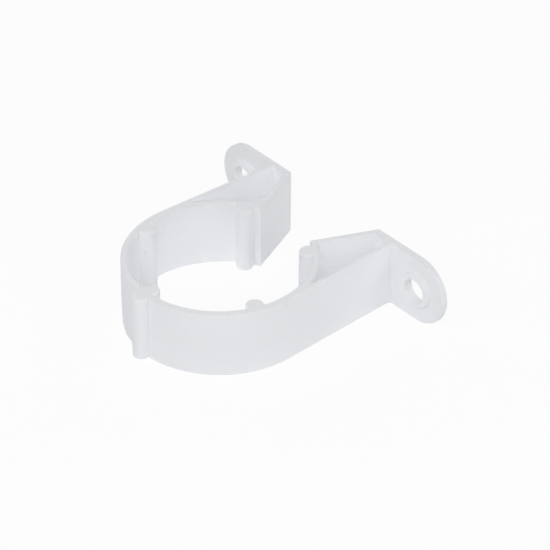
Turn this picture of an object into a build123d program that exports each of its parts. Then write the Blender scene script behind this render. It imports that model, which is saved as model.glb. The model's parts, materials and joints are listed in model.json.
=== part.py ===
from build123d import *
import os
from math import cos, radians, sin, tan

# Pipe clip in one moulding. The pipe's axis is Z through the origin and the wall is on the +Y side.
# The mould parts at mid-height, where the walls are thickest: they lean in from there to both rims.

# Pipe and grip ribs
pipe_diameter = 42.8        # outside of a 40 mm nominal waste pipe
rib_squeeze = 0.3           # how far an unloaded rib reaches inside the pipe's surface
rib_height = 3.75           # from the band's inside to the tip of a rib
nose_radius = 2.5           # ribs and bead
rib_pitch_angle = 72.9      # from the front rib to the next one, and on to the end rib
ribs_each_side = 2
rib_end_radius = 0.6        # ribs and bead, at both ends

# Band
clip_height = 19.7          # along the pipe
band_thickness = 1.85
gap_half_angle = 24.0       # the band's opening, each side of the +Y direction

# Bead outside the band, in one with the front rib
bead_height = 3.05

# Hollow arms that stand the band off the wall
wall_gap = 14.0             # from the band's outside to the wall
arm_toe_in = 2.25           # the arms lean towards each other, in degrees
arm_thickness = 1.15
gap_wall_thickness = 1.5
web_thickness = 1.7         # closes each arm at mid-height
pocket_corner_radius = 0.7
pocket_tip_radius = 0.45    # where a pocket narrows between the arm and the band

# Ears and fixing holes
flange_thickness = 1.8
ear_overhang = 9.9          # from a hole's axis to the tip of its ear
hole_offset = 10.4          # from an arm's outside to the hole's axis
hole_diameter = 7.0
collar_width = 1.7          # ring of plastic round a hole
collar_height = 1.3

# Moulding
draft_angle = 0.5
rim_radius = 0.15
end_corner_radius = 0.4
arm_root_radius = 1.0
collar_edge_radius = 0.6
collar_root_radius = 0.4
hole_mouth_radius = 0.35
hole_back_radius = 0.9
overrun = 1.0               # how far a form runs past the plane that trims it
match = 0.001               # how closely an edge has to agree with a size to be taken for it

# Sizes that follow
half_height = clip_height / 2
draft_shift = half_height * tan(radians(draft_angle))
grip_radius = pipe_diameter / 2 - rib_squeeze
band_inner = grip_radius + rib_height
band_outer = band_inner + band_thickness
band_middle = band_inner + band_thickness / 2
rib_axis = grip_radius + nose_radius
bead_axis = band_outer + bead_height - nose_radius
wall_offset = band_outer + wall_gap
flange_front = wall_offset - flange_thickness
collar_front = flange_front - collar_height
hole_radius = hole_diameter / 2
collar_radius = hole_radius + collar_width
gap_sin = sin(radians(gap_half_angle))
gap_cos = cos(radians(gap_half_angle))
toe_sin = sin(radians(arm_toe_in))
toe_cos = cos(radians(arm_toe_in))
thinnest_rim = min(arm_thickness, gap_wall_thickness, band_thickness) - 2 * draft_shift
rim_fillet = min(rim_radius, thinnest_rim / 3)
on_wall = Plane.XZ.offset(-wall_offset)


def arm_x(y, inset):
    # x of the right arm's outside, or of a line inset into the arm, at a given y
    return (band_outer - inset - y * toe_sin) / toe_cos


def gap_x(y, inset):
    # x of the gap's right face, or of a line inset into the arm, at a given y
    return (y * gap_sin + inset) / gap_cos


arm_foot = arm_x(flange_front, 0)
hole_x = arm_foot + hole_offset


def clip_plan():
    # Band, arms and gap walls in plan, run past the wall so that the back can be trimmed flat
    far = wall_offset + overrun
    outside = CenterArc((0, 0), band_outer, 180 - arm_toe_in, 180 + 2 * arm_toe_in)
    inside = CenterArc((0, 0), band_inner, 90 - gap_half_angle, 2 * gap_half_angle - 360)
    side = Polyline(outside @ 1, (arm_x(far, 0), far), (gap_x(far, 0), far), inside @ 0)
    plan = make_face([outside, side, inside, mirror(side, Plane.YZ)])
    ends = plan.vertices().sort_by_distance((0, band_inner))[:2]
    return fillet(ends, end_corner_radius)


def pocket_plan():
    # Hollow of the right arm at its rim: arm wall, flange, gap wall and the band's outside
    flange_inner = flange_front + draft_shift
    arm_inset = arm_thickness - draft_shift
    gap_inset = gap_wall_thickness - draft_shift
    end_y = band_inner * gap_cos
    corners = [
        (arm_x(flange_inner, arm_inset), flange_inner),
        (gap_x(flange_inner, gap_inset), flange_inner),
        (gap_x(end_y, gap_inset), end_y),
        (arm_x(0, arm_inset), 0),
    ]
    plan = Polygon(*corners, align=None) - Circle(band_outer - draft_shift)
    plan = fillet(plan.vertices().sort_by(Axis.Y)[0], pocket_tip_radius)
    return fillet(plan.vertices().sort_by(Axis.Y)[2:], pocket_corner_radius)


def rib_plan(reach):
    # Rib at the front in plan: a round nose with straight flanks behind it, out to a given radius
    flanks = Pos(0, -(rib_axis + reach) / 2) * Rectangle(2 * nose_radius, reach - rib_axis)
    return Pos(0, -rib_axis) * Circle(nose_radius) + flanks


def half_bar(plan):
    # A rib's or bead's upper half
    bar = extrude(plan, half_height, taper=draft_angle)
    return fillet(bar.edges().group_by(Axis.Z)[-1], rib_end_radius)


def both_sides(right):
    return right + mirror(right, Plane.YZ)


def uprights(body, x, y):
    # The upright edge nearest to a place in plan, on the right and on the left
    places = [(x, y, half_height / 2), (-x, y, half_height / 2)]
    return [body.edges().sort_by_distance(place)[0] for place in places]


def ear_half():
    # Right ear above mid-height: a flat plate on the wall with a round end
    root = arm_x(flange_front, arm_thickness / 2)
    centre = hole_x + ear_overhang - half_height
    outline = Pos((root + centre) / 2, 0) * Rectangle(centre - root, clip_height)
    outline += Pos(centre, 0) * Circle(half_height)
    plate = extrude(on_wall * outline, flange_thickness)
    for side in (0, -1):
        face = plate.faces().sort_by(Axis.Y)[side]
        plate = fillet(face.edges().sort_by(Axis.X)[1:], rim_fillet)
    return split(plate, bisect_by=Plane.XY, keep=Keep.TOP)


def half_clip():
    # Everything above the parting plane
    prism = extrude(clip_plan(), half_height, taper=draft_angle)
    body = split(prism, bisect_by=on_wall, keep=Keep.TOP)
    body = fillet(uprights(body, gap_x(wall_offset, 0), wall_offset), end_corner_radius)
    hollow = extrude(pocket_plan(), half_height - web_thickness / 2, taper=draft_angle)
    body -= both_sides(Pos(0, 0, half_height) * mirror(hollow, Plane.XY))
    body = fillet(body.edges().group_by(Axis.Z)[-1], rim_fillet)
    body += half_bar(rib_plan(bead_axis) + Pos(0, -bead_axis) * Circle(nose_radius))
    rib = half_bar(rib_plan(band_middle))
    for step in range(1, ribs_each_side + 1):
        body += both_sides(Rot(0, 0, step * rib_pitch_angle) * rib)
    body += both_sides(ear_half())
    return fillet(uprights(body, arm_foot, flange_front), arm_root_radius)


def rings(body, y, radius):
    # Round edges of a given radius about the fixing holes, at a given y
    found = []
    for edge in body.edges().filter_by(GeomType.CIRCLE):
        if abs(edge.arc_center.Y - y) < match and abs(edge.radius - radius) < match:
            found.append(edge)
    return found


def add_fixings(body):
    # A raised collar on each ear and a screw hole through it, with their edges rounded
    for x in (-hole_x, hole_x):
        place = on_wall * Pos(x, 0)
        body += extrude(place * Circle(collar_radius), wall_offset - collar_front)
        body -= extrude(place * Circle(hole_radius), wall_offset - collar_front)
    body = fillet(rings(body, flange_front, collar_radius), collar_root_radius)
    body = fillet(rings(body, collar_front, collar_radius), collar_edge_radius)
    body = fillet(rings(body, collar_front, hole_radius), hole_mouth_radius)
    return fillet(rings(body, wall_offset, hole_radius), hole_back_radius)


os.makedirs("parts", exist_ok=True)
upper = half_clip()
clip = add_fixings(upper + mirror(upper, Plane.XY))
export_step(clip, "parts/pipe_clip.step")
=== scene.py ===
import json
from math import cos, radians, sin

import bpy
from mathutils import Matrix, Vector

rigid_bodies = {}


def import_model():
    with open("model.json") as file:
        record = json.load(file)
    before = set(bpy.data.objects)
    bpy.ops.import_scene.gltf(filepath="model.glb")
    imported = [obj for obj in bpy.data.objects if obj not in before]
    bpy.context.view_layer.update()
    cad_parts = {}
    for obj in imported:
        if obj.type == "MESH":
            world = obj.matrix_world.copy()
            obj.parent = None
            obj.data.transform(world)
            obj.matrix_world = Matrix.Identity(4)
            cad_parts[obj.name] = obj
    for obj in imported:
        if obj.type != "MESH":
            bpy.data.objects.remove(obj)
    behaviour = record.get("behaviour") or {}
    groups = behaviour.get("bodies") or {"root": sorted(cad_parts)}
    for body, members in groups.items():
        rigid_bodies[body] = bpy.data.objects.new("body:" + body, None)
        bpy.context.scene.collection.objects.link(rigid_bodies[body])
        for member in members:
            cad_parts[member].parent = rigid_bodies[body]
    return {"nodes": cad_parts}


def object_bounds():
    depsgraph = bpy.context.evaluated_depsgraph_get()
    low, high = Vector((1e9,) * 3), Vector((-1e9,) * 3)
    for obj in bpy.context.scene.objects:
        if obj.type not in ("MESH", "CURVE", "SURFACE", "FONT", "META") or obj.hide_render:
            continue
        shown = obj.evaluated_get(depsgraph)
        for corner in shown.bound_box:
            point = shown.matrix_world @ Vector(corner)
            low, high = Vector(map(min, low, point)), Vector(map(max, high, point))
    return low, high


mm = 0.001

# clear whatever Blender opened with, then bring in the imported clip
bpy.ops.object.select_all(action="SELECT")
bpy.ops.object.delete()
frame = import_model()
cadBox = [list(corner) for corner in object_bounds()]
clip = frame["nodes"]["pipe_clip"]
bpy.ops.object.select_all(action="DESELECT")
print("clip loaded")


def newTree(block):
    block.use_nodes = True
    block.node_tree.nodes.clear()
    return block.node_tree


def feed(tree, socket, value):
    # a link where the value is another node's output, a plain setting otherwise
    if isinstance(value, bpy.types.NodeSocket):
        tree.links.new(value, socket)
    else:
        socket.default_value = value


def addNode(tree, kind, settings=None, **inputs):
    # settings are the node's menus, inputs are its sockets: by name, or by number as i0, i1
    node = tree.nodes.new(kind)
    for key, value in (settings or {}).items():
        setattr(node, key, value)
    for key, value in inputs.items():
        byNumber = key[0] == "i" and key[1:].isdigit()
        socket = int(key[1:]) if byNumber else key.replace("_", " ")
        feed(tree, node.inputs[socket], value)
    return node


def calc(tree, operation, first, second=0.0):
    return addNode(tree, "ShaderNodeMath", {"operation": operation}, i0=first, i1=second).outputs[0]


def vectorCalc(tree, operation, first, second, output=0):
    node = addNode(tree, "ShaderNodeVectorMath", {"operation": operation}, i0=first, i1=second)
    return node.outputs[output]


def strongest(tree, masks):
    total = masks[0]
    for mask in masks[1:]:
        total = calc(tree, "MAXIMUM", total, mask)
    return total


# natural plastic: milky, cool white, satin from the mould
milkyPlastic = {
    "colour": (0.945, 0.948, 0.957, 1),
    "cloudColour": (0.932, 0.936, 0.947, 1),   # where the melt flowed a little denser
    "cloudSize": 14 * mm,
    "cloudDetail": 3.0,
    "grainSize": 0.35 * mm,
    "grainDetail": 2.0,
    "grainShare": 0.10,                        # how much of the cloud colour the fine grain mixes in
    "rootColour": (0.985, 0.988, 0.993, 1),    # painted light: inner corners are lightened to lift the shade that falls in them
    "paintedLightReach": 1.2 * mm,
    "paintedLightRays": 8,                             # how finely the corners are felt out
    "seamColour": (0.962, 0.964, 0.970, 1),
    "seamHalfWidth": 0.10 * mm,                # the line where the mould parts
    "speckColour": (0.16, 0.15, 0.15, 1),
    "scratchColour": (0.55, 0.56, 0.58, 1),
    "markCore": 0.3,                           # share of a mark's half width that is at full strength
    "roughness": (0.62, 0.72),
    "gloss": 0.15,                             # how strongly the surface mirrors
    "refraction": 1.49,
    "scatterShare": 0.25,
    "scatterDepth": 0.6 * mm,
    "edgeRadius": 0.4 * mm,                    # moulded edges and corners catch the light softly
    "grainHeight": 0.010 * mm,
    "seamHeight": 0.020 * mm,
    "scratchDepth": 0.030 * mm,
}

# dark specks in the plastic: place in mm, radius in mm, strength
specks = [
    ((-21.10, -8.91, 3.54), 0.40, 0.18),
    ((-22.90, -9.58, 8.17), 0.22, 0.35),
    ((-24.60, 3.35, 6.93), 0.17, 0.48),
    ((-24.85, 0.88, 5.41), 0.17, 0.32),
    ((-24.31, 5.10, 1.63), 0.22, 0.28),
    ((0.14, -29.66, 8.01), 0.20, 0.60),
]

# scratch on the right of the band: its ends and its half width in mm
scratch = {
    "start": (26.57, -0.05, 9.40),
    "end": (26.61, 0.96, 7.00),
    "halfWidth": 0.10,
    "strength": 0.35,
}


def toMetres(point):
    return tuple(value * mm for value in point)


def softMark(tree, away, halfWidth):
    # 1 at the middle of a mark and 0 past its half width
    settings = {"interpolation_type": "SMOOTHSTEP"}
    node = addNode(tree, "ShaderNodeMapRange", settings, Value=away, To_Min=1.0, To_Max=0.0,
                   From_Min=milkyPlastic["markCore"] * halfWidth, From_Max=halfWidth)
    return node.outputs[0]


def speckMasks(tree, place):
    masks = []
    for centre, radius, strength in specks:
        away = vectorCalc(tree, "DISTANCE", place, toMetres(centre), 1)
        masks.append(calc(tree, "MULTIPLY", softMark(tree, away, radius * mm), strength))
    return masks


def scratchMask(tree, place):
    # distance from the nearest point of the line between the scratch's ends
    start = Vector(toMetres(scratch["start"]))
    run = Vector(toMetres(scratch["end"])) - start
    fromStart = vectorCalc(tree, "SUBTRACT", place, start)
    along = vectorCalc(tree, "DOT_PRODUCT", fromStart, run / run.length_squared, 1)
    along = addNode(tree, "ShaderNodeClamp", Value=along).outputs[0]
    onLine = addNode(tree, "ShaderNodeVectorMath", {"operation": "SCALE"}, i0=tuple(run), Scale=along)
    away = vectorCalc(tree, "DISTANCE", fromStart, onLine.outputs[0], 1)
    return calc(tree, "MULTIPLY", softMark(tree, away, scratch["halfWidth"] * mm), scratch["strength"])


def noise(tree, place, size, detail):
    return addNode(tree, "ShaderNodeTexNoise", Vector=place, Scale=1 / size, Detail=detail).outputs[0]


def blend(tree, share, under, over):
    return addNode(tree, "ShaderNodeMix", {"data_type": "RGBA"}, i0=share, i6=under, i7=over).outputs[2]


def makePlastic():
    look = milkyPlastic
    material = bpy.data.materials.new("milkyPlastic")
    tree = newTree(material)
    place = addNode(tree, "ShaderNodeTexCoord").outputs["Object"]
    height = addNode(tree, "ShaderNodeSeparateXYZ", Vector=place).outputs[2]

    clouds = noise(tree, place, look["cloudSize"], look["cloudDetail"])
    grain = noise(tree, place, look["grainSize"], look["grainDetail"])
    cloudShare = addNode(tree, "ShaderNodeMath", {"operation": "MULTIPLY_ADD"},
                         i0=grain, i1=look["grainShare"], i2=clouds).outputs[0]
    # painted light: an occlusion mask finds the inner corners, so their colour can be lightened against
    # their shade
    feeler = {"only_local": True, "samples": look["paintedLightRays"]}
    openness = addNode(tree, "ShaderNodeAmbientOcclusion", feeler, Distance=look["paintedLightReach"])
    root = calc(tree, "SUBTRACT", 1.0, openness.outputs["AO"])
    seam = softMark(tree, calc(tree, "ABSOLUTE", height), look["seamHalfWidth"])
    speck = strongest(tree, speckMasks(tree, place))
    scored = scratchMask(tree, place)

    colour = blend(tree, cloudShare, look["colour"], look["cloudColour"])
    # painted light: inner corners lightened where shade would fall
    colour = blend(tree, root, colour, look["rootColour"])
    colour = blend(tree, seam, colour, look["seamColour"])
    colour = blend(tree, scored, colour, look["scratchColour"])
    colour = blend(tree, speck, colour, look["speckColour"])

    low, high = look["roughness"]
    sheen = addNode(tree, "ShaderNodeMapRange", Value=clouds, To_Min=low, To_Max=high).outputs[0]

    # grain and seam stand up, the scratch goes down
    relief = calc(tree, "MULTIPLY", grain, look["grainHeight"])
    relief = calc(tree, "ADD", relief, calc(tree, "MULTIPLY", seam, look["seamHeight"]))
    relief = calc(tree, "SUBTRACT", relief, calc(tree, "MULTIPLY", scored, look["scratchDepth"]))
    softEdges = addNode(tree, "ShaderNodeBevel", Radius=look["edgeRadius"])
    bump = addNode(tree, "ShaderNodeBump", Height=relief, Distance=1.0, Strength=1.0,
                   Normal=softEdges.outputs[0])

    shader = addNode(tree, "ShaderNodeBsdfPrincipled", Base_Color=colour, Roughness=sheen,
                     IOR=look["refraction"], Specular_IOR_Level=look["gloss"],
                     Subsurface_Weight=look["scatterShare"], Subsurface_Radius=(1.0, 1.0, 1.0),
                     Subsurface_Scale=look["scatterDepth"], Normal=bump.outputs[0])
    addNode(tree, "ShaderNodeOutputMaterial", Surface=shader.outputs[0])
    return material


clip.data.materials.clear()
clip.data.materials.append(makePlastic())
print("plastic on the clip")

# floor: white table that the clip lies on
table = {
    "size": 12.0,
    "colour": (0.93, 0.93, 0.935, 1),
    "whiteShare": 0.92,        # how white it is to the camera, the rest being the shadow on it
}


def backgroundRay(tree):
    path = addNode(tree, "ShaderNodeLightPath").outputs
    return strongest(tree, [path["Is Camera Ray"], path["Is Glossy Ray"], path["Is Transmission Ray"]])


def makeTable():
    bpy.ops.mesh.primitive_plane_add(size=table["size"], location=(0, 0, cadBox[0][2]))
    top = bpy.context.object
    top.name = "table_top"
    material = bpy.data.materials.new("tableWhite")
    tree = newTree(material)
    matt = addNode(tree, "ShaderNodeBsdfDiffuse", Color=table["colour"])
    white = addNode(tree, "ShaderNodeEmission", Strength=1.0)
    share = calc(tree, "MULTIPLY", backgroundRay(tree), table["whiteShare"])
    mixed = addNode(tree, "ShaderNodeMixShader", i0=share, i1=matt.outputs[0], i2=white.outputs[0])
    addNode(tree, "ShaderNodeOutputMaterial", Surface=mixed.outputs[0])
    top.data.materials.append(material)


makeTable()
print("table laid")

# camera at the photograph's angle: turned to the clip's right and raised, in degrees
view = {
    "azimuth": 49.41,
    "elevation": 35.75,
    "roll": 0.18,
    "distance": 728.1 * mm,
    "target": (5.77 * mm, 14.31 * mm, -0.03 * mm),
    "lens": 176.4,
    "sensorWidth": 36,
}

# light: a faint white tent, and softboxes all round the clip
tent = {
    "level": 0.15,
    "colour": (1.0, 1.0, 1.0, 1),
}
softbox = {
    "size": 0.5,
    "reach": 1.0,                      # from the clip
    "colour": (0.965, 0.978, 1.0),     # daylight tubes
}

# turn is to the right of the camera and lift above the table, in degrees
boxPlaces = {
    "frontBox": {"turn": 0, "lift": 42, "watts": 2.85},
    "rightBox": {"turn": 50, "lift": 24, "watts": 1.50},
    "leftBox": {"turn": -50, "lift": 42, "watts": 1.94},
    "highRightBox": {"turn": 80, "lift": 42, "watts": 1.31},
    "sideBox": {"turn": -75, "lift": 24, "watts": 0.65},
    "backLeftBox": {"turn": -140, "lift": 24, "watts": 2.29},
    "backRightBox": {"turn": 140, "lift": 24, "watts": 1.68},
}
bounces = 32                           # pale plastic passes light on many times


def outward(turn, lift):
    # direction from the clip, turned from its front to its right and raised, in degrees
    turn, lift = radians(turn), radians(lift)
    return Vector((sin(turn) * cos(lift), -cos(turn) * cos(lift), sin(lift)))


def lightTent():
    world = bpy.data.worlds.new("whiteTent")
    bpy.context.scene.world = world
    tree = newTree(world)
    glow = addNode(tree, "ShaderNodeBackground", Color=tent["colour"], Strength=tent["level"])
    white = addNode(tree, "ShaderNodeBackground", Color=(1, 1, 1, 1), Strength=1.0)
    mixed = addNode(tree, "ShaderNodeMixShader", i0=backgroundRay(tree),
                    i1=glow.outputs[0], i2=white.outputs[0])
    addNode(tree, "ShaderNodeOutputWorld", Surface=mixed.outputs[0])


def hangSoftbox(name, place):
    away = outward(view["azimuth"] + place["turn"], place["lift"])
    bpy.ops.object.light_add(type="AREA", location=away * softbox["reach"])
    lamp = bpy.context.object
    lamp.name = name
    lamp.data.size = softbox["size"]
    lamp.data.energy = place["watts"]
    lamp.data.color = softbox["colour"]
    lamp.rotation_euler = away.to_track_quat("Z", "Y").to_euler()


lightTent()
for name, place in boxPlaces.items():
    hangSoftbox(name, place)
bpy.context.scene.cycles.max_bounces = bounces
bpy.context.scene.cycles.diffuse_bounces = bounces
print("lights up")


def setCamera():
    turn, roll = radians(view["azimuth"]), radians(view["roll"])
    back = outward(view["azimuth"], view["elevation"])
    side = Vector((cos(turn), sin(turn), 0))
    up = back.cross(side)
    side, up = side * cos(roll) + up * sin(roll), up * cos(roll) - side * sin(roll)
    place = Vector(view["target"]) + back * view["distance"]
    lensData = bpy.data.cameras.new("camera")
    lensData.sensor_width = view["sensorWidth"]
    lensData.lens = view["lens"]
    camera = bpy.data.objects.new("camera", lensData)
    bpy.context.scene.collection.objects.link(camera)
    camera.matrix_world = Matrix.Translation(place) @ Matrix((side, up, back)).transposed().to_4x4()
    bpy.context.scene.camera = camera


setCamera()
bpy.context.scene.view_settings.view_transform = "Standard"
print("camera set")
